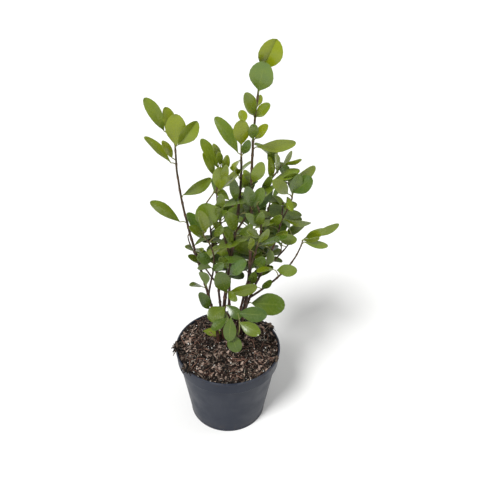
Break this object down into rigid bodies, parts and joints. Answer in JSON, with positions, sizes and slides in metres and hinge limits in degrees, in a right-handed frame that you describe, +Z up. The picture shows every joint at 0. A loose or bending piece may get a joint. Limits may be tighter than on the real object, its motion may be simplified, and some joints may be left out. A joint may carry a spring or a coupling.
{
  "type": "potted new zealand broadleaf",
  "caption": "Young evergreen broadleaf shrub: thin upright woody stems with rounded glossy leaves, growing in compost in a round plastic nursery pot with a collared rim.",
  "frame": {"origin": "middle of the pot's flat underside, on the surface that the pot stands on", "axes": "+Z up along the pot's axis; -Y is the side that the picture shows; +X is to the picture's right"},
  "size_m": [0.1647, 0.1237, 0.3967],
  "materials": {
    "pot_plastic": "dark slate grey moulded plastic, satin",
    "compost": "dark brown peat and bark compost with pale grains",
    "bark": "dark red-brown young bark",
    "young_bark": "olive to red-brown shoots",
    "leaves_young": "glossy yellow-green leaves",
    "leaves_grown": "glossy mid-green leaves",
    "leaves_old": "glossy deep green leaves"
  },
  "bodies": {
    "root": {"bough_back_left": "young_bark", "bough_back_right": "young_bark", "bough_left_short": "young_bark", "bough_middle_left": "young_bark", "bough_middle_right": "young_bark", "bough_right_fork": "young_bark", "bough_right_low": "young_bark", "bough_tall_side": "young_bark", "compost": "compost", "leaves_back_left": "leaves_grown", "leaves_back_left_low": "leaves_old", "leaves_back_left_side": "leaves_grown", "leaves_back_middle": "leaves_grown", "leaves_back_middle_low": "leaves_grown", "leaves_back_right": "leaves_grown", "leaves_back_right_low": "leaves_old", "leaves_back_right_side": "leaves_grown", "leaves_centre_band": "leaves_grown", "leaves_centre_upper": "leaves_grown", "leaves_far_left": "leaves_grown", "leaves_foot_front": "leaves_old", "leaves_foot_left": "leaves_old", "leaves_foot_right": "leaves_old", "leaves_front_left": "leaves_old", "leaves_front_low": "leaves_old", "leaves_front_middle": "leaves_grown", "leaves_inner_low": "leaves_grown", "leaves_inner_top": "leaves_young", "leaves_left_blade": "leaves_grown", "leaves_left_inner": "leaves_young", "leaves_left_low": "leaves_young", "leaves_left_outer": "leaves_young", "leaves_left_short_low": "leaves_grown", "leaves_left_short_top": "leaves_grown", "leaves_low_left": "leaves_old", "leaves_middle_blade": "leaves_young", "leaves_middle_side": "leaves_grown", "leaves_middle_top": "leaves_young", "leaves_right_blade": "leaves_young", "leaves_right_inner": "leaves_grown", "leaves_right_low": "leaves_old", "leaves_right_middle": "leaves_grown", "leaves_right_outer": "leaves_grown", "leaves_right_side": "leaves_grown", "leaves_right_spike": "leaves_young", "leaves_right_tip": "leaves_grown", "leaves_right_upper": "leaves_grown", "leaves_tall_pair": "leaves_young", "leaves_tall_upper": "leaves_young", "leaves_top": "leaves_young", "leaves_upper_right": "leaves_young", "pot": "pot_plastic", "stem_back_left": "bark", "stem_back_middle": "bark", "stem_back_right": "bark", "stem_front": "bark", "stem_left": "bark", "stem_middle": "bark", "stem_right": "bark", "stem_tall": "bark"}
  },
  "joints": []
}
